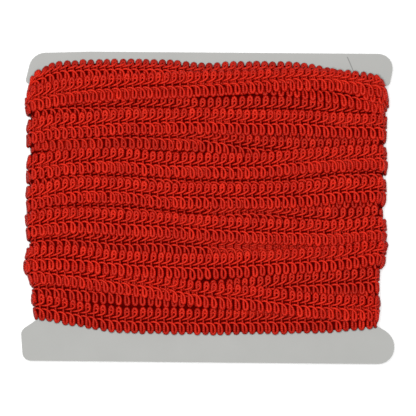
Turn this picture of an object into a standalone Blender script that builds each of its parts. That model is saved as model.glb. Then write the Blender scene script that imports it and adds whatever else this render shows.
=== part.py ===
"""A roll of gimp braid: one long braid wound flat round a waisted card that lies on its back.

The card lies in the XY plane with its long side along X. The winding is lofted from closed rings
that follow the turns: over the front, round the right side, under the back and round the left side.
"""

import math

import bmesh
import bpy
import numpy as np

MM = 0.001

# Card
CARD_THICK = 1.5 * MM
CARD_HEIGHT = 6.6 * MM
CLEARANCE = 0.3 * MM
FILLET_STEPS = 7

# Braid
BRAID_ABOVE = 6.3 * MM
BRAID_BELOW = 6.8 * MM
LAYER = 1.8 * MM
CROWN = 0.7 * MM
STEP_RUN = 0.35 * MM
LEAST_BAND = 0.7 * MM

# Winding
SIDE_LAYER = 2.0 * MM
HEAD_REACH = 3.7 * MM
FOOT_REACH = 6.0 * MM
END_HEIGHT = 1.2 * MM
EDGE_DROP = 2.0 * MM
EDGE_DROP_FROM = -50.0 * MM
EDGE_DROP_OVER = 30.0 * MM
SQUEEZE_FROM = 44.0 * MM
SQUEEZE = 0.62
LOWEST_AT_EDGE = -53.2 * MM
CROWDED = 0.1
FACE_STEPS = 25
SIDE_STEPS = 6

# Where each turn's spine is measured across the front
STATIONS = (-81.6, -60.0, -12.0, 36.0, 60.0, 80.3)

# Corners of the card, going round: x, y, fillet radius
CARD_CORNERS = (
    (-85.4, 74.3, 8.0),
    (-57.0, 75.2, 20.0),
    (90.4, 75.1, 7.0),
    (87.4, 60.2, 1.6),
    (80.3, 57.9, 2.0),
    (80.3, -55.3, 2.5),
    (90.6, -61.5, 9.0),
    (90.5, -74.9, 8.0),
    (-88.9, -74.4, 4.0),
    (-90.0, -59.7, 4.0),
    (-81.6, -54.1, 2.5),
    (-81.6, 57.2, 2.0),
    (-88.7, 60.2, 1.6),
)

# Turns that show, from the top: layers under the front at its left and right, layers at the sides,
# then the height of the spine at each station
TURNS = (
    ("head", 3.0, 3.0, 3.3, (62.2, 67.3, 66.8, 67.1, 65.4, 60.6)),
    ("top_1", 3.0, 3.2, 3.2, (52.9, 57.3, 59.2, 62.2, 61.6, 57.4)),
    ("low_1", 2.0, 2.2, 2.5, (44.6, 48.0, 48.6, 49.0, 49.6, 48.4)),
    ("top_2", 3.0, 3.0, 3.3, (37.1, 40.4, 42.2, 41.8, 40.7, 40.2)),
    ("low_2", 2.0, 2.0, 2.5, (31.0, 33.0, 34.0, 30.0, 29.0, 32.2)),
    ("top_3", 3.0, 3.0, 3.3, (19.9, 22.5, 20.9, 21.9, 24.3, 25.6)),
    ("top_4", 3.0, 3.0, 3.2, (5.0, 8.3, 6.3, 6.6, 8.6, 9.9)),
    ("low_4", 2.0, 2.0, 2.4, (-1.2, 0.4, -1.3, -2.6, -2.6, -0.6)),
    ("top_5", 3.0, 3.0, 3.2, (-8.3, -6.0, -8.6, -10.7, -11.1, -9.1)),
    ("low_5", 2.0, 2.0, 2.5, (-15.5, -15.2, -17.2, -18.8, -18.4, -15.9)),
    ("top_6", 3.2, 3.2, 3.2, (-24.6, -24.8, -28.0, -25.6, -23.7, -20.0)),
    ("cross_in", 2.8, 2.0, 2.3, (-30.6, -33.6, -35.8, -35.8, -35.3, -33.8)),
    ("cross_out", 2.0, 3.0, 2.0, (-38.6, -39.5, -40.4, -45.0, -46.6, -46.6)),
    ("foot", 2.0, 2.1, 1.1, (-47.6, -51.1, -54.4, -54.1, -52.8, -50.6)),
)

# Places across one turn where the loft has a line: share of the way from its spine to its edge
LINES = (-1.0, -0.55, 0.0, 0.55, 1.0)


def collection_named(name, hidden=False):
    made = bpy.data.collections.new(name)
    made.hide_render = hidden
    bpy.context.scene.collection.children.link(made)
    return made


def plain_material(name, color, roughness):
    material = bpy.data.materials.new(name)
    material.use_nodes = True
    shader = material.node_tree.nodes["Principled BSDF"]
    shader.inputs["Base Color"].default_value = (*color, 1.0)
    shader.inputs["Roughness"].default_value = roughness
    return material


def object_from(name, mesh, collection, material=None):
    made = bpy.data.objects.new(name, mesh)
    collection.objects.link(made)
    if material:
        mesh.materials.append(material)
    return made


def unit(vector):
    return vector / np.linalg.norm(vector)


def card_outline(grow):
    """The card's outline as points in order, with its corners rounded, all of it grown by this much."""
    corners = np.array([(x, y) for x, y, _ in CARD_CORNERS]) * MM
    radii = [radius * MM for _, _, radius in CARD_CORNERS]
    count = len(corners)
    points = []
    for i, radius in enumerate(radii):
        back = unit(corners[i - 1] - corners[i])
        ahead = unit(corners[(i + 1) % count] - corners[i])
        middle = unit(back + ahead)
        half_angle = math.acos(np.clip(back @ ahead, -1.0, 1.0)) / 2
        turns_right = back[0] * ahead[1] - back[1] * ahead[0] > 0
        side = 1.0 if turns_right else -1.0
        centre = corners[i] + middle * radius / math.sin(half_angle)
        from_centre = radius + side * grow
        sweep = math.pi / 2 - half_angle
        for step in range(FILLET_STEPS):
            angle = sweep * (2 * step / (FILLET_STEPS - 1) - 1) * -side
            c, s = math.cos(angle), math.sin(angle)
            out = np.array((-middle[0] * c + middle[1] * s, -middle[0] * s - middle[1] * c))
            points.append(centre + out * from_centre)
    return points


def plate(name, outline, thick, height, collection, material=None):
    """A flat plate of this outline, its mid-plane at this height."""
    bm = bmesh.new()
    bottom = [bm.verts.new((x, y, height - thick / 2)) for x, y in outline]
    face = bm.faces.new(bottom)
    raised = bmesh.ops.extrude_face_region(bm, geom=[face])["geom"]
    moved = [item for item in raised if isinstance(item, bmesh.types.BMVert)]
    bmesh.ops.translate(bm, verts=moved, vec=(0.0, 0.0, thick))
    bmesh.ops.recalc_face_normals(bm, faces=bm.faces)
    mesh = bpy.data.meshes.new(name)
    bm.to_mesh(mesh)
    bm.free()
    return object_from(name, mesh, collection, material)


def bands_at(share, spines):
    """The winding's profile at one place: its lines as (y, height above the card), from foot to head."""
    layers = [left + (right - left) * share for _, left, right, _, _ in TURNS]
    edges = [spines[0] + HEAD_REACH]
    for upper in range(len(TURNS) - 1):
        lower = upper + 1
        if layers[upper] >= layers[lower]:
            edge = spines[upper] - BRAID_BELOW
        else:
            edge = spines[lower] + BRAID_ABOVE
        edges.append(np.clip(edge, spines[lower] + LEAST_BAND, spines[upper] - LEAST_BAND))
    edges.append(spines[-1] - FOOT_REACH)
    lines = []
    for i, spine in enumerate(spines):
        for place in LINES:
            if place < 0:
                y = spine + (edges[i] - STEP_RUN * (i > 0) - spine) * -place
            else:
                y = spine + (edges[i + 1] + STEP_RUN * (i < len(TURNS) - 1) - spine) * place
            reach = BRAID_ABOVE if y > spine else BRAID_BELOW
            crown = CROWN * (1.0 - ((y - spine) / reach) ** 2)
            height = layers[i] * LAYER + crown
            if i == 0 and y > spine:
                height += (END_HEIGHT - height) * ((y - spine) / HEAD_REACH) ** 1.3
            if i == len(TURNS) - 1 and y < spine:
                height += (END_HEIGHT - height) * ((spine - y) / FOOT_REACH) ** 1.6
            lines.append((y, height))
    return lines[::-1]


def spines_at(x):
    """The height of every turn's spine at this x on the front, eased between the stations."""
    stations = np.array(STATIONS) * MM
    x = np.clip(x, stations[0], stations[-1])
    cell = min(int(np.searchsorted(stations, x, side="right")) - 1, len(stations) - 2)
    found = []
    for *_, heights in TURNS:
        heights = np.array(heights) * MM
        slopes = np.gradient(heights, stations)
        run = stations[cell + 1] - stations[cell]
        t = (x - stations[cell]) / run
        found.append(
            heights[cell] * (1 + 2 * t) * (1 - t) ** 2
            + slopes[cell] * run * t * (1 - t) ** 2
            + heights[cell + 1] * t * t * (3 - 2 * t)
            + slopes[cell + 1] * run * t * t * (t - 1)
        )
    return found


def at_edge(y):
    """Where a line goes on the card's side edge: a little lower, and held between the card's shoulders."""
    if y < LOWEST_AT_EDGE:
        return LOWEST_AT_EDGE + (y - LOWEST_AT_EDGE) * CROWDED
    lowered = y - EDGE_DROP * np.clip((y - EDGE_DROP_FROM) / EDGE_DROP_OVER, 0.0, 1.0)
    if lowered > SQUEEZE_FROM:
        return SQUEEZE_FROM + (lowered - SQUEEZE_FROM) * SQUEEZE
    return lowered


def side_layers():
    """The layers at the card's side edges for every line of the loft, from the foot up."""
    return [side for _, _, _, side, _ in TURNS for _ in LINES][::-1]


def winding_rings():
    """Rings of points, one for each line: front left to right, right side, back, left side."""
    left, right = STATIONS[0] * MM, STATIONS[-1] * MM
    columns = []
    ends = {}
    for x in np.linspace(left, right, FACE_STEPS):
        lines = bands_at((x - left) / (right - left), spines_at(x))
        columns.append([(x, y, CARD_THICK / 2 + height) for y, height in lines])
        ends[x] = lines
    sides = side_layers()
    face_angles = np.linspace(math.pi / 2, -math.pi / 2, SIDE_STEPS + 2)[1:-1]
    at_right, at_left = ends[right], ends[left]

    def side_column(lines, x, outward, angle):
        lean = math.cos(angle)
        column = []
        for (y, height), layers in zip(lines, sides):
            reach = layers * SIDE_LAYER
            moved = y + (at_edge(y) - y) * (lean if angle > 0 else 1.0)
            rise = (CARD_THICK / 2 + height) * math.copysign(abs(math.sin(angle)) ** 0.8, angle)
            column.append((x + outward * reach * lean**0.8, moved, rise))
        return column

    for angle in face_angles:
        columns.append(side_column(at_right, right, 1.0, angle))
    for x in np.linspace(right, left, FACE_STEPS):
        share = (x - left) / (right - left)
        back = []
        for (y_left, h_left), (y_right, h_right) in zip(at_left, at_right):
            y = at_edge(y_left) * (1 - share) + at_edge(y_right) * share
            height = h_left * (1 - share) + h_right * share
            back.append((x, y, -CARD_THICK / 2 - height))
        columns.append(back)
    for angle in face_angles[::-1]:
        columns.append(side_column(at_left, left, -1.0, angle))
    rings = np.array(columns).transpose(1, 0, 2)
    rings[:, :, 2] = np.maximum(rings[:, :, 2] + CARD_HEIGHT, 0.0)
    return rings


def loft_winding(name, middle, collection, material):
    rings = winding_rings()
    rings[:, :, :2] -= middle
    bm = bmesh.new()
    verts = [[bm.verts.new(point) for point in ring] for ring in rings]
    around = len(rings[0])
    for lower, upper in zip(verts, verts[1:]):
        for j in range(around):
            k = (j + 1) % around
            bm.faces.new((lower[j], lower[k], upper[k], upper[j]))
    # A ring's points pair off front to back, so a strip between the pairs closes each end.
    half_side = SIDE_STEPS // 2
    for ring in (verts[0], verts[-1]):
        for n in range(-half_side, FACE_STEPS + half_side - 1):
            m = 2 * FACE_STEPS + SIDE_STEPS - 1 - n
            corners = (n, n + 1, m - 1, m)
            bm.faces.new([ring[corner % around] for corner in corners])
    bmesh.ops.recalc_face_normals(bm, faces=bm.faces)
    mesh = bpy.data.meshes.new(name)
    bm.to_mesh(mesh)
    bm.free()
    return object_from(name, mesh, collection, material)


def cut(target, cutter):
    boolean = target.modifiers.new("slot for the card", "BOOLEAN")
    boolean.operation = "DIFFERENCE"
    boolean.solver = "EXACT"
    boolean.object = cutter


for leftover in list(bpy.data.objects):
    bpy.data.objects.remove(leftover, do_unlink=True)

parts = collection_named("roll_of_gimp_braid")
cutters = collection_named("cutters", hidden=True)

card_board = plain_material("card_board", (0.48, 0.485, 0.465), 0.7)
red_yarn = plain_material("red_yarn", (0.62, 0.015, 0.008), 0.6)

# The origin is under the middle of the card, so every point is moved by the card's own middle.
outline = np.array(card_outline(0.0))
card_middle = (outline.min(axis=0) + outline.max(axis=0)) / 2

plate("card", outline - card_middle, CARD_THICK, CARD_HEIGHT, parts, card_board)
winding = loft_winding("braid_winding", card_middle, parts, red_yarn)

slot = plate(
    "slot_cutter",
    np.array(card_outline(CLEARANCE)) - card_middle,
    CARD_THICK + 2 * CLEARANCE,
    CARD_HEIGHT,
    cutters,
)
slot.display_type = "WIRE"
slot.hide_render = True
cut(winding, slot)
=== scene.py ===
"""A roll of red gimp braid wound on a pale grey card, seen from straight above.

The braid is worked in four steps. Each turn's way round the card is eased from a table. The turns
are laid one on another on a map of heights round the card. Each becomes a smooth guide strip. Then
Geometry Nodes work the braid's cords along the strip, repeat by repeat.
"""

import math

import bpy
import numpy as np
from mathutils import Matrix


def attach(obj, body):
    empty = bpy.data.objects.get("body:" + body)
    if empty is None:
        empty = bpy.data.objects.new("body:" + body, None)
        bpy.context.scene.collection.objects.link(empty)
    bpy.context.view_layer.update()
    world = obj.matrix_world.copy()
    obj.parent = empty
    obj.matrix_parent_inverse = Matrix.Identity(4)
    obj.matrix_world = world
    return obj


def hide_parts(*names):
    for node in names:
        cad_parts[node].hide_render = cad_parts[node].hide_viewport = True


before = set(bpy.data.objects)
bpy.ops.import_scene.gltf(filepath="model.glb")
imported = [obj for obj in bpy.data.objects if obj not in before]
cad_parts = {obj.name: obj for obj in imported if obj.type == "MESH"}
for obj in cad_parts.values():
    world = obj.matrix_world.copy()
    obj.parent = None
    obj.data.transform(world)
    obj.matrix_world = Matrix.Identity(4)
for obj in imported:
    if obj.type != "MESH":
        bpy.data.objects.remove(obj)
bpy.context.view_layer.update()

MM = 0.001
PIXEL = 0.4826  # millimetres of the object to one pixel of the photograph
PHOTO_SIDE = 416

# The card, as the solids have it, in millimetres
CARD_MIDDLE = (0.37, 0.16)
CARD_HEIGHT = 6.6
HALF_CARD = 0.75
CARD_LEFT, CARD_RIGHT = -81.6, 80.3

# The card's crease: x and y of its upper end, slant, half its width, y of its lower end
CREASE = (66.5, 73.4, 0.42, 0.45, 64.0)
# How dark the painted shade along the crease is at its middle
CREASE_SHADE_STRENGTH = 0.6

# The board's greys
BOARD_DARK, BOARD_PALE = (0.241, 0.242, 0.232), (0.253, 0.254, 0.244)

# The way a line of the winding is held between the card's shoulders at its side edges
EDGE_DROP, EDGE_DROP_FROM, EDGE_DROP_OVER = 2.0, -50.0, 30.0
SQUEEZE_FROM, SQUEEZE = 44.0, 0.62
LOWEST_AT_EDGE, CROWDED = -53.2, 0.1
SIDE_ROUNDNESS = 0.8  # below 1 the way round an edge is squarer than a half circle
SIDE_BED = 1.1  # how much thicker the layers lie at the card's edges
OVER_SHOULDER = 7.0  # the pile keeps its height this far past its ends at the card's edges

# How far the layers stand out at the card's edges, as a share of their height: y, left, right
SIDE_SPREAD = (
    (-56.0, 0.05, 0.05),
    (-52.0, 0.19, 0.23),
    (-45.0, 0.37, 0.33),
    (-36.0, 0.56, 0.33),
    (-31.0, 0.84, 0.42),
    (-26.0, 0.95, 0.88),
    (38.0, 0.95, 0.88),
    (46.0, 0.86, 0.76),
    (76.0, 0.84, 0.74),
)

# The braid: its repeat, its reach above and below its spine, its thickness when laid
REPEAT = 3.8
ABOVE, BELOW = 6.3, 6.9
LAYER = 1.75
EDGE_THINNER = 0.45  # the share by which it is thinner at its edges
SUNK = 1.1  # how far the deep turns lie in the layers below
SINKS_IN = 0.35  # the most that any turn sinks into what carries it

# A turn's guide strip: its lines, what it has beyond the braid's edges, and how far inside its own
# edges it raises the map. Its length is measured a little above it, where the cords run.
ACROSS = 15
STRIP_MARGIN = 0.3
LAID_INSIDE = 0.2
MEASURED_OVER = 1.0

# The pile's ends, from the spines of its highest two turns and of its lowest
OVER_HEAD, OVER_TOP, UNDER_FOOT = 0.6, 1.8, 4.6

# Where the hidden layers end, up and down: how far past the pile's end, and over how much they
# thin out there. Loose is the air in them. The first layers lie under everything, and a support
# lies under each turn of the top layer, with a half width that thins out too.
FIRST_UP, FIRST_DOWN, FIRST_LOOSE = (1.6, 2.6), (2.0, 3.0), 0.1
SUPPORT_UP, SUPPORT_DOWN, SUPPORT_LOOSE = (0.9, 2.4), (-6.5, 4.0), 0.15
SUPPORT_HALF = (6.4, 2.2)

# The plain body under the turns: its lines, how far it goes past the pile's ends, how far under
# the turns it lies and its least height
BED_LINES = 120
BED_UP, BED_DOWN = 1.4, 1.0
BED_UNDER, BED_LEAST = 0.1, 0.35

# At the card's edges it is fuller, and its grooves are closed: rows looked over, share, quickness
SIDE_FILL = 0.7
SIDE_REACH, SIDE_CLOSED, SIDE_QUICK = 3, 0.8, 1.5

# The map of heights: columns go over the front, round the right, over the back and round the left
FACE_COLUMNS, SIDE_COLUMNS = 109, 12
MAP_LOW, MAP_HIGH, MAP_STEP = -68.0, 80.0, 0.5

# The x at which each turn's spine is given, left to right
STATIONS = (-85.4, -74.3, -63.2, -44.4, -23.1, -2.8, 23.2, 45.4, 60.9, 82.1)

# Turns in the order they were wound. Columns: name, layer, the turn it leads to on the back, then
# the y of its spine at the stations. A turn of the deep layer is made only over the half of the
# front where it shows in gaps, and names that half instead.
TURNS = (
    ("deep_upper", 1, "right", (38.5, 38.5, 38.5, 38.5, 38.5, 38.5, 38.7, 39.2, 39.4, 39.4)),
    ("deep_left", 1, "left", (26.8, 27.0, 27.2, 27.5, 27.5, 27.5, 27.5, 27.5, 27.5, 27.5)),
    ("deep_middle", 1, "right", (3.0, 3.0, 3.0, 3.0, 3.0, 3.0, 3.6, 4.8, 6.4, 7.8)),
    ("deep_lower", 1, "right", (-22.3,) * len(STATIONS)),
    ("deep_lowest", 1, "right", (-45.5,) * len(STATIONS)),
    ("under_1", 2, "under_2", (47.7, 48.5, 48.8, 48.9, 48.8, 47.4, 48.3, 48.1, 46.9, 46.4)),
    ("start", 2, "head", (53.0, 55.5, 56.5, 57.6, 59.0, 60.5, 61.4, 59.5, 56.9, 52.2)),
    ("under_2", 2, "under_3", (34.2, 33.5, 33.8, 34.7, 34.2, 33.3, 29.6, 28.0, 28.0, 29.6)),
    ("under_3", 2, "under_4", (14.9, 15.4, 16.0, 15.6, 14.6, 13.5, 13.7, 14.8, 16.9, 18.0)),
    ("under_4", 2, "under_5", (0.4, 0.7, 1.0, 0.7, -0.6, -2.9, -1.7, -4.0, -5.3, -4.2)),
    ("under_5", 2, "under_6", (-16.0, -15.0, -15.1, -16.7, -16.5, -17.9, -18.6, -18.6, -18.2, -15.8)),
    ("under_6", 2, "foot", (-38.5, -38.5, -39.3, -40.4, -41.3, -41.3, -38.6, -36.2, -35.4, -33.9)),
    ("foot", 2, "foot", (-47.3, -48.9, -50.9, -53.7, -54.2, -54.5, -54.1, -53.7, -53.0, -50.8)),
    ("head", 3, "top_1", (60.5, 66.0, 67.1, 67.8, 67.7, 66.3, 67.2, 66.4, 63.7, 57.1)),
    ("top_1", 3, "top_2", (51.8, 54.9, 56.5, 58.2, 59.1, 60.1, 62.1, 63.4, 63.1, 60.2)),
    ("top_2", 3, "top_3", (36.3, 39.1, 39.6, 41.3, 41.9, 42.3, 41.7, 41.6, 40.7, 40.2)),
    ("top_3", 3, "top_4", (19.3, 21.0, 22.4, 22.9, 21.3, 20.8, 20.9, 23.2, 24.3, 25.5)),
    ("top_4", 3, "top_5", (4.5, 7.0, 8.3, 8.4, 6.3, 6.1, 6.2, 7.2, 8.7, 9.9)),
    ("top_5", 3, "last", (-8.5, -6.8, -6.0, -7.0, -8.0, -9.2, -10.5, -11.0, -11.2, -9.1)),
    ("cross", 3, "foot", (-29.7, -31.3, -32.4, -35.2, -37.9, -41.2, -43.3, -45.8, -47.0, -47.7)),
    ("last", 3, "cross", (-24.7, -24.1, -24.5, -26.3, -27.4, -28.0, -26.4, -24.8, -23.7, -20.1)),
)

DEEP_LAYER, TOP_LAYER = 1, 3

# How much of a turn's upper half shows in plan at its left and right, where that isn't all of it,
# and where along the card the first goes over into the second
UPPER_HALF_SHOWS = {"head": (0.55, 0.55), "top_1": (1.0, 0.7)}
SHOWS_FROM, SHOWS_OVER = 0.45, 0.3

# Pieces of the finished winding, each with the turns that it holds
PIECES = (
    ("braid_turns_deep", ("deep_upper", "deep_left", "deep_middle", "deep_lower", "deep_lowest")),
    ("braid_under_upper", ("start", "under_1", "under_2")),
    ("braid_under_middle", ("under_3", "under_4", "under_5")),
    ("braid_under_lower", ("under_6", "foot")),
    ("braid_turns_upper", ("head", "top_1", "top_2")),
    ("braid_turns_middle", ("top_3", "top_4", "top_5")),
    ("braid_turns_lower", ("cross", "last")),
)

# One repeat of the braid: its two cords, as points along the braid, across it and above its
# underside, with the cord's radius. The first is in hundredths of a repeat, the second in
# hundredths of a millimetre and the others in millimetres.
LOOP_CORD = (
    (-105, -195, 0.72, 0.0),
    (-96, -138, 1.02, 0.42),
    (-79, -98, 1.38, 0.53),
    (-53, -92, 1.57, 0.55),
    (-27, -114, 1.61, 0.55),
    (-3, -168, 1.55, 0.55),
    (14, -246, 1.40, 0.58),
    (22, -342, 1.22, 0.70),
    (24, -450, 1.04, 0.83),
    (21, -550, 0.96, 0.85),
    (12, -602, 0.92, 0.85),
    (0, -616, 0.90, 0.86),
    (-12, -602, 0.92, 0.85),
    (-21, -550, 0.94, 0.85),
    (-24, -435, 0.96, 0.84),
    (-24, -310, 0.92, 0.80),
    (-25, -200, 0.84, 0.73),
    (-25, -75, 0.64, 0.62),
    (-25, 75, 0.64, 0.62),
    (-25, 195, 0.82, 0.70),
    (-25, 320, 1.00, 0.80),
    (-24, 445, 1.04, 0.82),
    (-15, 532, 1.02, 0.83),
    (0, 564, 1.00, 0.84),
    (15, 532, 1.02, 0.83),
    (24, 445, 1.04, 0.82),
    (25, 320, 1.00, 0.80),
    (25, 195, 0.78, 0.68),
    (25, 85, 0.50, 0.0),
)
CURL_CORD = (
    (-115, 10, 0.72, 0.0),
    (-96, 42, 1.16, 0.44),
    (-62, 78, 1.50, 0.54),
    (-31, 116, 1.60, 0.56),
    (-3, 168, 1.62, 0.56),
    (17, 232, 1.60, 0.54),
    (24, 302, 1.56, 0.52),
    (17, 366, 1.54, 0.52),
    (1, 392, 1.50, 0.52),
    (-14, 362, 1.40, 0.50),
    (-21, 294, 1.18, 0.46),
    (-13, 228, 0.88, 0.38),
    (0, 192, 0.62, 0.0),
)
CORD_SIDES = 6

# How high the cords stand on average at the braid's edges and spine, and the spine's half width
EDGE_STAND, SPINE_STAND, SPINE_HALF = 0.95, 1.5, 2.5

# How unlike the repeats are: least and greatest stretch and turn, and a slow drift in millimetres
STRETCHED = ((0.93, 0.95, 0.92), (1.07, 1.04, 1.06))
TURNED = ((-0.05, -0.05, -0.045), (0.05, 0.05, 0.045))
UNEVENNESS, DRIFT_SCALE = 0.55, 310.0

# The yarn's colour, and the share of it that its mottle goes down to
RED = (0.570, 0.0075, 0.0022)
MOTTLE_LOW = 0.78

# Painted shade by the yarn's height over the turn below, and a painted highlight tint on its highest
# strands: millimetres, share, warmth
PAINTED_LIGHT_BY_DEPTH = ((0.1, 0.04, 1.0), (0.6, 0.34, 1.0), (1.0, 0.68, 1.0), (1.6, 0.76, 1.0), (2.03, 1.0, 1.6))

# Painted shade on the yarn by its height over the card's middle, deeper on the lower layers: from and to
# in millimetres, least share
LAYER_SHADE = (1.9, 5.9, 0.72)


# The way round the card


def smooth(t):
    t = np.clip(t, 0.0, 1.0)
    return t * t * (3.0 - 2.0 * t)


def at_edge(y):
    """Where a line of the winding lies on the card's side edges and back."""
    lowered = y - EDGE_DROP * np.clip((y - EDGE_DROP_FROM) / EDGE_DROP_OVER, 0.0, 1.0)
    squeezed = SQUEEZE_FROM + (lowered - SQUEEZE_FROM) * SQUEEZE
    held = np.where(lowered > SQUEEZE_FROM, squeezed, lowered)
    return np.where(y < LOWEST_AT_EDGE, LOWEST_AT_EDGE + (y - LOWEST_AT_EDGE) * CROWDED, held)


class Way:
    """The columns of the map: for each its x on the card's outline, its outward lean and its rise."""

    def __init__(self):
        faces = np.linspace(CARD_LEFT, CARD_RIGHT, FACE_COLUMNS)
        angles = np.linspace(math.pi / 2, -math.pi / 2, SIDE_COLUMNS + 2)[1:-1]
        side = np.ones(SIDE_COLUMNS)
        flat = np.ones(FACE_COLUMNS)
        self.x = np.concatenate((faces, side * CARD_RIGHT, faces[::-1], side * CARD_LEFT))
        self.lean = np.concatenate((flat * 0, np.cos(angles), flat * 0, -np.cos(angles)))
        self.rise = np.concatenate((flat, np.sin(angles), -flat, np.sin(angles[::-1])))
        # How far the lines are held between the card's shoulders: wholly from the edges on down
        self.held = np.where(self.rise < 0, 1.0, np.abs(self.lean) ** 3)
        self.count = len(self.x)
        self.front = np.arange(FACE_COLUMNS)
        self.right = FACE_COLUMNS + np.arange(SIDE_COLUMNS)
        self.back = FACE_COLUMNS + SIDE_COLUMNS + np.arange(FACE_COLUMNS)
        self.left = 2 * FACE_COLUMNS + SIDE_COLUMNS + np.arange(SIDE_COLUMNS)

    def place(self, columns, y, height):
        """Points in metres of the lines y, at this height over the card, in these columns."""
        lean = self.lean[columns][:, None]
        rise = self.rise[columns][:, None]
        outward = np.sign(lean) * np.abs(lean) ** SIDE_ROUNDNESS
        upward = np.sign(rise) * np.abs(rise) ** SIDE_ROUNDNESS
        moved = y + (at_edge(y) - y) * self.held[columns][:, None]
        at, left, right = np.array(SIDE_SPREAD).T
        loose = np.where(lean < 0, np.interp(moved, at, left), np.interp(moved, at, right))
        x = self.x[columns][:, None] + outward * height * loose
        z = CARD_HEIGHT + (HALF_CARD + height) * upward
        points = np.stack((x - CARD_MIDDLE[0], moved - CARD_MIDDLE[1], z), axis=-1)
        return points * MM


way = Way()
rows = np.arange(MAP_LOW, MAP_HIGH + MAP_STEP / 2, MAP_STEP)
layers = {name: layer for name, layer, _, _ in TURNS}
leads_to = {name: other for name, _, other, _ in TURNS}
spines = {name: spine for name, _, _, spine in TURNS}


def eased(x, spine):
    """The y at x of a smooth line through a spine's points at the stations."""
    stations = np.array(STATIONS)
    given = np.array(spine)
    slopes = np.gradient(given, stations)
    cell = np.clip(np.searchsorted(stations, x, side="right") - 1, 0, len(stations) - 2)
    run = stations[cell + 1] - stations[cell]
    t = np.clip((x - stations[cell]) / run, 0.0, 1.0)
    return (
        given[cell] * (1 + 2 * t) * (1 - t) ** 2
        + slopes[cell] * run * t * (1 - t) ** 2
        + given[cell + 1] * t * t * (3 - 2 * t)
        + slopes[cell + 1] * run * t * t * (t - 1)
    )


def spine_of(name):
    """(columns, y) of a turn's spine: up round the left side, over the front, round the right, back."""
    if layers[name] == DEEP_LAYER:
        half = FACE_COLUMNS // 2
        ends = {"left": (way.left, way.front[:half]), "right": (way.front[half:], way.right)}
        columns = np.concatenate(ends[leads_to[name]])
        return columns, eased(way.x[columns], spines[name])
    front = eased(way.x[way.front], spines[name])
    next_left = float(eased(CARD_LEFT, spines[leads_to[name]]))
    left = np.full(SIDE_COLUMNS, front[0])
    right = np.full(SIDE_COLUMNS, front[-1])
    back = front[-1] + (next_left - front[-1]) * smooth(np.linspace(0, 1, FACE_COLUMNS))
    columns = np.concatenate((way.left, way.front, way.right, way.back))
    return columns, np.concatenate((left, front, right, back))


# Laying the turns on one another


def softened(values, times, axis):
    """Values with this many passes of a small blur along one axis, its ends held."""
    pads = [(0, 0)] * values.ndim
    pads[axis] = (1, 1)
    for _ in range(times):
        wide = np.pad(values, pads, mode="edge")
        low = np.take(wide, range(0, values.shape[axis]), axis)
        high = np.take(wide, range(2, values.shape[axis] + 2), axis)
        values = values * 0.5 + (low + high) * 0.25
    return values


def spread(values, reach, axis):
    """The highest value within this many steps along one axis."""
    found = values.copy()
    for shift in range(1, reach + 1):
        for way_round in (shift, -shift):
            moved = np.roll(values, way_round, axis)
            edge = slice(0, shift) if way_round > 0 else slice(values.shape[axis] - shift, None)
            at = [slice(None)] * values.ndim
            at[axis] = edge
            moved[tuple(at)] = values[tuple(at)]
            found = np.maximum(found, moved)
    return found


def pile_ends():
    """The y of the pile's lower and upper end in every column."""
    over_head = eased(way.x, spines["head"]) + OVER_HEAD
    over_top = eased(way.x, spines["top_1"]) + OVER_TOP
    return eased(way.x, spines["foot"]) - UNDER_FOOT, np.maximum(over_head, over_top)


def layer_ends():
    """The same for the hidden layers, which go on over the card's shoulders."""
    low, high = pile_ends()
    return low, high + OVER_SHOULDER * np.sqrt(np.abs(way.lean))


def thinned(inside, end):
    """1 well inside an end and 0 outside it, which lies this far past where inside is 0."""
    past, over = end
    return smooth((inside + past) / over)


def first_layers():
    """The map of heights of what lies hidden under the turns that show."""
    low, high = layer_ends()
    above = thinned(high[:, None] - rows, FIRST_UP)
    below = thinned(rows - low[:, None], FIRST_DOWN)
    thick = LAYER + FIRST_LOOSE + SIDE_BED * np.abs(way.lean)
    return thick[:, None] * np.minimum(above, below)


def fill_under(heights, columns, y):
    """Raises the map under an upper turn, where the turns of the layer below carry it."""
    low, high = layer_ends()
    thick = 2 * LAYER + SUPPORT_LOOSE + SIDE_BED * np.abs(way.lean[columns])
    bed = thick[:, None] * thinned(-np.abs(rows - y[:, None]), SUPPORT_HALF)
    above = thinned(high[columns][:, None] - rows, SUPPORT_UP)
    below = thinned(rows - low[columns][:, None], SUPPORT_DOWN)
    heights[columns] = np.maximum(heights[columns], bed * np.minimum(above, below))


def carried_by(heights, columns, lines):
    """The height at which the map carries a strip with these lines, smoothed like cloth."""
    found = np.stack([np.interp(l, rows, heights[c]) for l, c in zip(lines, columns)])
    carried = softened(softened(spread(spread(found, 1, 1), 1, 0), 3, 1), 4, 0)
    return softened(np.maximum(carried, found - SINKS_IN), 1, 1)


def upper_half_shown(name, columns):
    """How much of a turn's upper half shows in these columns."""
    left, right = UPPER_HALF_SHOWS.get(name, (1.0, 1.0))
    share = (way.x[columns] - CARD_LEFT) / (CARD_RIGHT - CARD_LEFT)
    shows = left + (right - left) * smooth((share - SHOWS_FROM) / SHOWS_OVER)
    return softened(np.where(way.held[columns] < 1, shows, 1.0), 3, 0)


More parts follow.
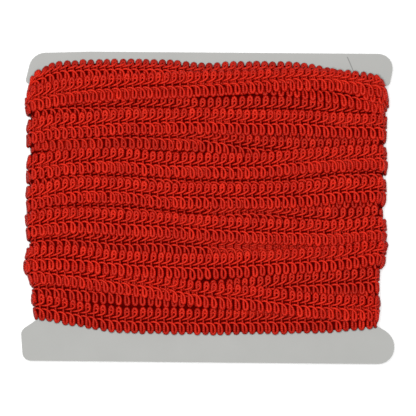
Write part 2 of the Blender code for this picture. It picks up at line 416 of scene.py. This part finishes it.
def lay(heights, name):
    """Lays one turn on the map. Returns its columns, the y of its lines and their heights."""
    columns, y = spine_of(name)
    if layers[name] == TOP_LAYER:
        fill_under(heights, columns, y)
    across = np.linspace(-BELOW - STRIP_MARGIN, ABOVE + STRIP_MARGIN, ACROSS)
    upper = across * upper_half_shown(name, columns)[:, None]
    lines = y[:, None] + np.where(across > 0, upper, across)
    base = carried_by(heights, columns, lines)
    # On a slope the cords stand out sideways, so the lines are set back by as much.
    stand = EDGE_STAND + (SPINE_STAND - EDGE_STAND) * np.exp(-((across / SPINE_HALF) ** 2))
    tilt = outward_of(way.place(columns, lines, base))[..., 1] * stand
    lines = lines - softened(tilt * (1.0 - way.held[columns])[:, None], 3, 0)
    base = carried_by(heights, columns, lines)
    if layers[name] == DEEP_LAYER:
        return columns, lines, base - SUNK
    # The braid's body, rounded off towards its edges, is what the next turn lies on.
    body = LAYER * (1.0 - EDGE_THINNER * np.clip(np.abs(across) / ABOVE, 0, 1) ** 3)
    for column, line, top in zip(columns, lines, base + body):
        inside = (rows > line[0] + LAID_INSIDE) & (rows < line[-1] - LAID_INSIDE)
        raised = np.interp(rows[inside], line, top)
        heights[column, inside] = np.maximum(heights[column, inside], raised)
    return columns, lines, base


# Guide strips


def grid_faces(tall, wide, closed=False):
    """Quads over a grid of points, tall by wide, joined round its long way if it is closed."""
    i, j = np.meshgrid(np.arange(tall if closed else tall - 1), np.arange(wide - 1), indexing="ij")
    a = i * wide + j
    b = ((i + 1) % tall) * wide + j
    return np.stack((a, b, b + 1, a + 1), axis=-1).reshape(-1, 4)


def in_scene(name, data):
    """A new object with this data, in the scene."""
    made = bpy.data.objects.new(name, data)
    bpy.context.scene.collection.objects.link(made)
    return made


def mesh_of(name, points, faces):
    mesh = bpy.data.meshes.new(name)
    mesh.from_pydata(points.reshape(-1, 3).tolist(), [], faces.tolist())
    mesh.update()
    return mesh


def outward_of(points):
    """Unit vectors square to a grid of points."""
    along = np.gradient(points, axis=0)
    across = np.gradient(points, axis=1)
    normals = np.cross(along, across)
    return normals / np.maximum(np.linalg.norm(normals, axis=-1, keepdims=True), 1e-12)


def guide_strip(name, columns, lines, base):
    """The smooth strip a turn's cords are worked on. Returns the object and the strip's length."""
    points = way.place(columns, lines, base)
    outward = outward_of(points)
    middle = points[:, ACROSS // 2] + outward[:, ACROSS // 2] * MEASURED_OVER * MM
    steps = np.linalg.norm(np.diff(middle, axis=0), axis=1)
    along = np.concatenate(([0.0], np.cumsum(steps)))
    mesh = mesh_of(name + "_guide", points, grid_faces(len(points), ACROSS))
    uv_grid = np.stack(
        np.meshgrid(along / along[-1], np.linspace(0, 1, ACROSS), indexing="ij"), axis=-1
    ).reshape(-1, 2)
    corners = np.zeros(len(mesh.loops), np.int32)
    mesh.loops.foreach_get("vertex_index", corners)
    layer = mesh.uv_layers.new(name="UVMap")
    layer.data.foreach_set("uv", uv_grid[corners].astype(np.float32).ravel())
    lift = mesh.attributes.new("outward", "FLOAT_VECTOR", "POINT")
    lift.data.foreach_set("vector", outward.astype(np.float32).ravel())
    return in_scene(name + "_guide", mesh), float(along[-1])


# Node trees


class Graph:
    """A node tree, with short ways to add a node to it and get its output."""

    def __init__(self, tree):
        self.tree = tree

    def give(self, slot, value):
        """Gives an input a value, or a link from another node."""
        if isinstance(value, bpy.types.NodeSocket):
            self.tree.links.new(value, slot)
        else:
            slot.default_value = value

    def node(self, kind, inputs=(), **settings):
        """All the outputs of a new node."""
        made = self.tree.nodes.new(kind)
        for key, value in settings.items():
            setattr(made, key, value)
        for socket, value in inputs:
            self.give(made.inputs[socket], value)
        return made.outputs

    def maths(self, operation, a, b=0.0, c=0.0):
        return self.node("ShaderNodeMath", ((0, a), (1, b), (2, c)), operation=operation)[0]

    def vector_maths(self, operation, a, b):
        return self.node("ShaderNodeVectorMath", ((0, a), (1, b)), operation=operation)[0]

    def scaled(self, vector, scale):
        inputs = ((0, vector), ("Scale", scale))
        return self.node("ShaderNodeVectorMath", inputs, operation="SCALE")[0]

    def combined(self, **axes):
        """A vector from its X, Y and Z, each 0 if it isn't given."""
        return self.node("ShaderNodeCombineXYZ", axes.items())[0]

    def separated(self, vector):
        """The X, Y and Z of a vector."""
        return self.node("ShaderNodeSeparateXYZ", ((0, vector),))

    def clamped(self, value, low, high):
        return self.node("ShaderNodeClamp", (("Value", value), ("Min", low), ("Max", high)))[0]

    def multiplied(self, a, b, factor=1.0):
        """Colour a times colour b."""
        inputs = (("Factor", factor), ("A", a), ("B", b))
        return self.node("ShaderNodeMix", inputs, data_type="RGBA", blend_type="MULTIPLY")["Result"]

    def ramp(self, value, stops):
        """A colour ramp with these stops, each a position and a colour."""
        made = self.tree.nodes.new("ShaderNodeValToRGB")
        elements = made.color_ramp.elements
        while len(elements) < len(stops):
            elements.new(1.0)
        for element, (position, colour) in zip(elements, stops):
            element.position = position
            element.color = (*colour, 1.0)
        self.give(made.inputs["Fac"], value)
        return made.outputs["Color"]

    def position(self):
        """Where each point of a geometry is."""
        return self.node("GeometryNodeInputPosition")["Position"]

    def moved(self, geometry, how, vector):
        """The geometry moved to a Position, or by an Offset."""
        inputs = (("Geometry", geometry), (how, vector))
        return self.node("GeometryNodeSetPosition", inputs)["Geometry"]

    def stored(self, name, kind="FLOAT"):
        """A value that is kept on a geometry."""
        return self.node("GeometryNodeInputNamedAttribute", (("Name", name),), data_type=kind)[0]

    def keep(self, geometry, name, value, kind="FLOAT", domain="POINT"):
        """The geometry with this value kept on it."""
        inputs = (("Geometry", geometry), ("Name", name), ("Value", value))
        kept = self.node("GeometryNodeStoreNamedAttribute", inputs, data_type=kind, domain=domain)
        return kept["Geometry"]

    def random_vector(self, least_and_greatest, seed):
        least, greatest = least_and_greatest
        inputs = (("Min", least), ("Max", greatest), ("Seed", seed))
        return self.node("FunctionNodeRandomValue", inputs, data_type="FLOAT_VECTOR")["Value"]

    def on_strip(self, strip, spot, value):
        """A value sampled from a guide strip, at a spot of its map."""
        uv = self.stored("UVMap", "FLOAT_VECTOR")
        inputs = (("Mesh", strip), ("Value", value), ("UV Map", uv), ("Sample UV", spot))
        return self.node("GeometryNodeSampleUVSurface", inputs, data_type="FLOAT_VECTOR")["Value"]


# The braid's repeat and its Geometry Nodes


def one_repeat():
    """A mesh of edges with the cords of one repeat, flat along X, its radius on each point."""
    points, edges, radii = [], [], []
    for cord in (LOOP_CORD, CURL_CORD):
        first = len(points)
        for along, across, above, radius in cord:
            points.append((along / 100 * REPEAT * MM, across / 100 * MM, above * MM))
            radii.append(radius * MM)
        edges += [(first + k, first + k + 1) for k in range(len(cord) - 1)]
    mesh = bpy.data.meshes.new("one_repeat")
    mesh.from_pydata(points, edges, [])
    radius = mesh.attributes.new("cord_radius", "FLOAT", "POINT")
    radius.data.foreach_set("value", radii)
    return in_scene("one_repeat", mesh)


def row_of_repeats(graph, given):
    """The cords of all repeats in a row along X, each repeat turned and stretched a little."""
    step = graph.combined(X=given["Pitch"])
    line = (("Count", given["Repeats"]), ("Start Location", step), ("Offset", step))
    row = graph.node("GeometryNodeMeshLine", line)["Mesh"]
    repeat = graph.node("GeometryNodeObjectInfo", (("Object", given["Repeat"]),))["Geometry"]
    stretch = graph.random_vector(STRETCHED, given["Seed"])
    turn = graph.random_vector(TURNED, graph.maths("ADD", given["Seed"], 50.0))
    placing = (("Points", row), ("Instance", repeat), ("Rotation", turn), ("Scale", stretch))
    placed = graph.node("GeometryNodeInstanceOnPoints", placing)["Instances"]
    cords = graph.node("GeometryNodeRealizeInstances", (("Geometry", placed),))["Geometry"]
    cords = graph.node("GeometryNodeMeshToCurve", (("Mesh", cords),))["Curve"]
    return graph.keep(cords, "along", graph.node("GeometryNodeSplineParameter")["Length"])


def drifted(graph, given, cords):
    """The cords moved by a slow drift, so that no two repeats lie quite alike."""
    shifted = graph.vector_maths("ADD", graph.position(), graph.combined(Z=given["Seed"]))
    inputs = (("Vector", shifted), ("Scale", DRIFT_SCALE), ("Detail", 1.0))
    noise = graph.node("ShaderNodeTexNoise", inputs)["Color"]
    drift = graph.vector_maths("SUBTRACT", noise, (0.5, 0.5, 0.5))
    return graph.moved(cords, "Offset", graph.scaled(drift, given["Unevenness"]))


def laid_on_strip(graph, given, cords):
    """The cords taken from their flat row onto the strip."""
    flat = graph.separated(graph.position())
    along = graph.clamped(graph.maths("DIVIDE", flat["X"], given["Strip Length"]), 0.0005, 0.9995)
    up = graph.maths("SUBTRACT", flat["Y"], given["Strip Low"])
    across = graph.clamped(graph.maths("DIVIDE", up, given["Strip Width"]), 0.001, 0.999)
    spot = graph.combined(X=along, Y=across)
    foot = graph.on_strip(given["Strip"], spot, graph.position())
    outward = graph.on_strip(given["Strip"], spot, graph.stored("outward", "FLOAT_VECTOR"))
    laid = graph.vector_maths("ADD", foot, graph.scaled(outward, flat["Z"]))
    return graph.moved(cords, "Position", laid)


def kept_up(graph, cords):
    """The cords, none of them through what the roll lies on."""
    here = graph.separated(graph.position())
    lifted = graph.maths("MAXIMUM", here["Z"], graph.stored("cord_radius"))
    held = graph.combined(X=here["X"], Y=here["Y"], Z=lifted)
    return graph.moved(cords, "Position", held)


def rounded(graph, given, cords):
    """The cords with their round section, which keeps its own turn for the yarn's map."""
    arc = (
        ("Resolution", graph.maths("ADD", given["Cord Sides"], 1.0)),
        ("Radius", 1.0),
        ("Start Angle", 0.0),
        ("Sweep Angle", 2 * math.pi),
    )
    section = graph.node("GeometryNodeCurveArc", arc)["Curve"]
    index = graph.node("GeometryNodeInputIndex")["Index"]
    section = graph.keep(section, "round", graph.maths("DIVIDE", index, given["Cord Sides"]))
    radius = graph.stored("cord_radius")
    sweep = (("Curve", cords), ("Profile Curve", section), ("Scale", radius))
    return graph.node("GeometryNodeCurveToMesh", sweep)["Mesh"]


def mapped(graph, given, braid):
    """The braid with its maps, in millimetres: along and round its yarn, and over the turn below."""
    along = graph.maths("MULTIPLY", graph.stored("along"), 1 / MM)
    yarn_map = graph.combined(X=along, Y=graph.stored("round"))
    braid = graph.keep(braid, "UVMap", yarn_map, "FLOAT2", "CORNER")
    below = (("Target", given["Strip"]),)
    over = graph.node("GeometryNodeProximity", below, target_element="FACES")["Distance"]
    depth_map = graph.combined(X=graph.maths("MULTIPLY", over, 1 / MM))
    return graph.keep(braid, "Depth", depth_map, "FLOAT2", "CORNER")


def braid_nodes():
    """The tree that works the braid along a guide strip."""
    tree = bpy.data.node_groups.new("braid_along_strip", "GeometryNodeTree")
    sockets = (
        ("Strip", "NodeSocketGeometry"),
        ("Repeat", "NodeSocketObject"),
        ("Repeats", "NodeSocketInt"),
        ("Pitch", "NodeSocketFloat"),
        ("Strip Length", "NodeSocketFloat"),
        ("Strip Low", "NodeSocketFloat"),
        ("Strip Width", "NodeSocketFloat"),
        ("Cord Sides", "NodeSocketInt"),
        ("Unevenness", "NodeSocketFloat"),
        ("Seed", "NodeSocketInt"),
        ("Yarn", "NodeSocketMaterial"),
    )
    for label, kind in sockets:
        tree.interface.new_socket(label, in_out="INPUT", socket_type=kind)
    tree.interface.new_socket("Braid", in_out="OUTPUT", socket_type="NodeSocketGeometry")
    given = tree.nodes.new("NodeGroupInput").outputs
    graph = Graph(tree)
    cords = drifted(graph, given, row_of_repeats(graph, given))
    cords = kept_up(graph, laid_on_strip(graph, given, cords))
    braid = mapped(graph, given, rounded(graph, given, cords))
    # The seams of the round sections are joined once the maps are on them.
    last_steps = (
        ("GeometryNodeMergeByDistance", (("Distance", 1e-6),)),
        ("GeometryNodeSetShadeSmooth", ()),
        ("GeometryNodeRealizeInstances", ()),
        ("GeometryNodeSetMaterial", (("Material", given["Yarn"]),)),
    )
    for kind, inputs in last_steps:
        braid = graph.node(kind, (("Geometry", braid), *inputs))["Geometry"]
    tree.links.new(braid, tree.nodes.new("NodeGroupOutput").inputs["Braid"])
    return tree


def worked(strip, length, tree, repeat, seed, yarn):
    """The strip's cords as a plain mesh."""
    modifier = strip.modifiers.new("braid", "NODES")
    modifier.node_group = tree
    values = {
        "Repeat": repeat,
        "Repeats": max(2, int(length / (REPEAT * MM)) - 1),
        "Pitch": length / round(length / (REPEAT * MM)),
        "Strip Length": length,
        "Strip Low": -(BELOW + STRIP_MARGIN) * MM,
        "Strip Width": (ABOVE + BELOW + 2 * STRIP_MARGIN) * MM,
        "Cord Sides": CORD_SIDES,
        "Unevenness": UNEVENNESS * MM,
        "Seed": seed,
        "Yarn": yarn,
    }
    for item in tree.interface.items_tree:
        if item.in_out == "INPUT" and item.name in values:
            modifier[item.identifier] = values[item.name]
    graph = bpy.context.evaluated_depsgraph_get()
    mesh = bpy.data.meshes.new_from_object(strip.evaluated_get(graph), depsgraph=graph)
    strip.modifiers.remove(modifier)
    return mesh


def joined(name, meshes, material):
    """One object from several meshes, with their yarn maps."""
    objects = [in_scene(name, mesh) for mesh in meshes]
    with bpy.context.temp_override(
        active_object=objects[0], object=objects[0], selected_editable_objects=objects
    ):
        bpy.ops.object.join()
    kept = objects[0]
    kept.name = name
    kept.data.name = name
    kept.data.materials.clear()
    kept.data.materials.append(material)
    return kept


# Materials


def plain_material(name, roughness, gloss):
    """A new material, with its shader's inputs and its nodes."""
    material = bpy.data.materials.new(name)
    material.use_nodes = True
    shader = material.node_tree.nodes["Principled BSDF"].inputs
    shader["Roughness"].default_value = roughness
    shader["Specular IOR Level"].default_value = gloss
    return material, shader, Graph(material.node_tree)


def twisted_yarn_group():
    """Yarn wound round a cord: a height for its wraps, and a painted shade that goes dark between them.
    """
    tree = bpy.data.node_groups.new("twisted_yarn", "ShaderNodeTree")
    for label, value in (("Wraps per Millimetre", 1.2), ("Slant", 1.0)):
        made = tree.interface.new_socket(label, in_out="INPUT", socket_type="NodeSocketFloat")
        made.default_value = value
    for label in ("Height", "Painted Shade"):
        tree.interface.new_socket(label, in_out="OUTPUT", socket_type="NodeSocketFloat")
    given = tree.nodes.new("NodeGroupInput").outputs
    out = tree.nodes.new("NodeGroupOutput").inputs
    graph = Graph(tree)
    on_yarn = graph.separated(graph.node("ShaderNodeUVMap", uv_map="UVMap")[0])
    wraps = graph.maths("MULTIPLY", on_yarn["X"], given["Wraps per Millimetre"])
    slant = graph.maths("MULTIPLY", on_yarn["Y"], given["Slant"])
    phase = graph.maths("ADD", wraps, slant)
    wave = graph.maths("SINE", graph.maths("MULTIPLY", phase, 2 * math.pi))
    height = graph.maths("MULTIPLY", graph.maths("ADD", wave, 1.0), 0.5)
    graph.give(out["Height"], height)
    # Painted shade, darkest in the grooves between the wraps
    graph.give(out["Painted Shade"], graph.maths("POWER", height, 0.5))
    return tree


def yarn_material():
    """Red yarn with a satin sheen, with painted shade in its hollows and on the lower layers, and a
    painted highlight tint on its highest strands.
    """
    material, shader, graph = plain_material("red_yarn", roughness=0.5, gloss=0.2)
    shader["Specular Tint"].default_value = (1.0, 0.7, 0.5, 1.0)
    yarn = graph.node("ShaderNodeGroup", node_tree=twisted_yarn_group())
    place = graph.node("ShaderNodeTexCoord")["Object"]

    # A fine mottle, and painted shade in the lines between the yarn's wraps
    inputs = (("Vector", place), ("Scale", 420.0), ("Detail", 3.0))
    mottle = graph.node("ShaderNodeTexNoise", inputs)["Fac"]
    darker = [share * MOTTLE_LOW for share in RED]
    colour = graph.multiplied(graph.ramp(mottle, ((0.3, darker), (0.7, RED))), yarn["Painted Shade"], 0.45)

    # Painted shade in the hollows between the cords, and a painted highlight tint on the highest strands
    over = graph.separated(graph.node("ShaderNodeUVMap", uv_map="Depth")[0])["X"]
    highest = PAINTED_LIGHT_BY_DEPTH[-1][0]
    stops = [
        (above / highest, (bright, bright * warmth, bright * warmth))
        for above, bright, warmth in PAINTED_LIGHT_BY_DEPTH
    ]
    depth_painted_light = graph.ramp(graph.maths("DIVIDE", over, highest), stops)
    colour = graph.multiplied(colour, depth_painted_light)

    # Lower layers and the winding's slopes get less light than its top turns.
    height = graph.separated(place)["Z"]
    away = graph.maths("ABSOLUTE", graph.maths("SUBTRACT", height, CARD_HEIGHT * MM))
    low, high, least = LAYER_SHADE
    inputs = (("Value", away), ("From Min", low * MM), ("From Max", high * MM), ("To Min", least))
    layer = graph.node("ShaderNodeMapRange", (*inputs, ("To Max", 1.0)))["Result"]
    graph.give(shader["Base Color"], graph.multiplied(colour, layer))

    inputs = (("Strength", 0.7), ("Distance", 0.12 * MM), ("Height", yarn["Height"]))
    graph.give(shader["Normal"], graph.node("ShaderNodeBump", inputs)["Normal"])
    return material


def bed_material():
    """What shows between the cords: the layers below, in their own shadow."""
    material, shader, graph = plain_material("yarn_in_shadow", roughness=0.9, gloss=0.0)
    place = graph.node("ShaderNodeTexCoord")["Object"]
    cells = graph.node("ShaderNodeTexVoronoi", (("Vector", place), ("Scale", 700.0)))["Distance"]
    stops = ((0.0, (0.08, 0.0006, 0.0003)), (1.0, (0.03, 0.0002, 0.0001)))
    graph.give(shader["Base Color"], graph.ramp(cells, stops))
    inputs = (("Strength", 0.8), ("Distance", 0.4 * MM), ("Height", cells))
    graph.give(shader["Normal"], graph.node("ShaderNodeBump", inputs, invert=True)["Normal"])
    return material


def crease_painted_shade(graph, place, mottle):
    """How strongly the painted shade along the card's crease shows: a short line down from its upper
    edge.
    """
    top_x, top_y, slant, wide, end_y = CREASE
    here = graph.separated(place)
    down = graph.maths("SUBTRACT", top_y * MM, here["Y"])
    line = graph.maths("MULTIPLY_ADD", down, slant, top_x * MM)
    wobble = graph.maths("MULTIPLY_ADD", mottle, 0.8 * MM, -0.4 * MM)
    off = graph.maths("ADD", graph.maths("SUBTRACT", here["X"], line), wobble)
    inputs = (
        ("Value", graph.maths("ABSOLUTE", off)),
        ("From Min", wide * MM),
        ("From Max", 0.0),
    )
    near = graph.node("ShaderNodeMapRange", inputs, interpolation_type="SMOOTHSTEP")["Result"]
    below_top = graph.maths("GREATER_THAN", down, 0.0)
    above_end = graph.maths("LESS_THAN", down, (top_y - end_y) * MM)
    within = graph.maths("MULTIPLY", below_top, above_end)
    return graph.maths("MULTIPLY", graph.maths("MULTIPLY", near, within), CREASE_SHADE_STRENGTH)


def card_material():
    """Smooth pale grey board with a faint mottle, and painted shade along its crease."""
    material, shader, graph = plain_material("pale_board", roughness=0.6, gloss=0.3)
    place = graph.node("ShaderNodeTexCoord")["Object"]
    inputs = (("Vector", place), ("Scale", 60.0), ("Detail", 6.0))
    mottle = graph.node("ShaderNodeTexNoise", inputs)["Fac"]
    board = graph.ramp(mottle, ((0.3, BOARD_DARK), (0.7, BOARD_PALE)))
    # The crease's shade is painted into the board's colour as a dark line, with no groove in the
    # surface.
    inputs = (
        ("Factor", crease_painted_shade(graph, place, mottle)),
        ("A", board),
        ("B", (0.03, 0.03, 0.03, 1.0)),
    )
    crease_shaded = graph.node("ShaderNodeMix", inputs, data_type="RGBA")["Result"]
    graph.give(shader["Base Color"], crease_shaded)
    return material


# Making it


def make_braid():
    """The turns in the order they were wound, then the plain body under them."""
    heights = first_layers()
    bed = heights.copy()
    yarn = yarn_material()
    tree = braid_nodes()
    repeat = one_repeat()
    meshes = {}
    for seed, (name, layer, *_) in enumerate(TURNS):
        columns, lines, base = lay(heights, name)
        if layer == TOP_LAYER:
            fill_under(bed, columns, spine_of(name)[1])
        strip, length = guide_strip(name, columns, lines, base)
        meshes[name] = worked(strip, length, tree, repeat, seed, yarn)
        bpy.data.objects.remove(strip)
    bpy.data.objects.remove(repeat)
    for name, turns in PIECES:
        piece = joined(name, [meshes[turn] for turn in turns], yarn)
        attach(piece, "root")
    make_bed(bed)


def make_bed(bed):
    """A plain closed body just under the turns, so that the gaps between cords look into red shade."""
    low, high = pile_ends()
    low, high = low - BED_DOWN, high + BED_UP
    lines = low[:, None] + (high - low)[:, None] * np.linspace(0, 1, BED_LINES)
    found = np.stack([np.interp(line, rows, column) for line, column in zip(lines, bed)])
    leaning = np.abs(way.lean)[:, None]
    closed = smooth(SIDE_QUICK * leaning) * SIDE_CLOSED
    found += (spread(found, SIDE_REACH, 1) - found) * closed
    surface = np.maximum(found - BED_UNDER, BED_LEAST) + SIDE_FILL * leaning
    points = way.place(np.arange(way.count), lines, surface)
    name = "braid_layers_below"
    piece = in_scene(name, mesh_of(name, points, grid_faces(way.count, BED_LINES, closed=True)))
    piece.data.materials.append(bed_material())
    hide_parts("braid_winding")
    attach(piece, "root")


def make_stage():
    """The white floor that the roll lies on."""
    half = 3.0
    corners = [(-half, -half, 0), (half, -half, 0), (half, half, 0), (-half, half, 0)]
    mesh = bpy.data.meshes.new("floor")
    mesh.from_pydata(corners, [], [(0, 1, 2, 3)])
    floor = in_scene("floor", mesh)
    material, shader, _ = plain_material("white_floor", roughness=0.9, gloss=0.0)
    shader["Base Color"].default_value = (0.5, 0.5, 0.5, 1.0)
    shader["Emission Color"].default_value = (1.0, 1.0, 1.0, 1.0)
    shader["Emission Strength"].default_value = 0.42
    mesh.materials.append(material)


def area_light(name, size, energy, place):
    """A square light of this many metres and watts, turned to the roll."""
    light = bpy.data.lights.new(name, "AREA")
    light.shape = "SQUARE"
    light.size = size
    light.energy = energy
    lamp = in_scene(name, light)
    lamp.location = place
    direction = lamp.location.copy()
    direction.negate()
    lamp.rotation_euler = direction.to_track_quat("-Z", "Y").to_euler()


def make_light():
    world = bpy.data.worlds.new("studio")
    world.use_nodes = True
    background = world.node_tree.nodes["Background"].inputs
    background["Color"].default_value = (1.0, 1.0, 1.0, 1.0)
    background["Strength"].default_value = 0.22
    bpy.context.scene.world = world
    area_light("soft_box_above", 0.5, 25.5, (-0.06, 0.05, 1.25))
    bpy.context.scene.view_settings.view_transform = "Standard"


def make_camera():
    """Straight above, as far off as keeps the winding from looming over the card."""
    sensor, away = 36.0, 1.5
    aim_x, aim_y, aim_z, roll = 0.05 * MM, 0.02 * MM, 10.0 * MM, 0.4
    camera = bpy.data.cameras.new("camera")
    camera.sensor_width = sensor
    camera.lens = sensor * away / (PHOTO_SIDE * PIXEL * MM)
    camera.clip_end = 10.0
    stand = in_scene("camera", camera)
    stand.location = (aim_x - CARD_MIDDLE[0] * MM, aim_y - CARD_MIDDLE[1] * MM, aim_z + away)
    stand.rotation_euler = (0.0, 0.0, math.radians(roll))
    bpy.context.scene.camera = stand


make_camera()
make_stage()
make_light()
make_braid()

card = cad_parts["card"]
card.data.materials.clear()
card.data.materials.append(card_material())
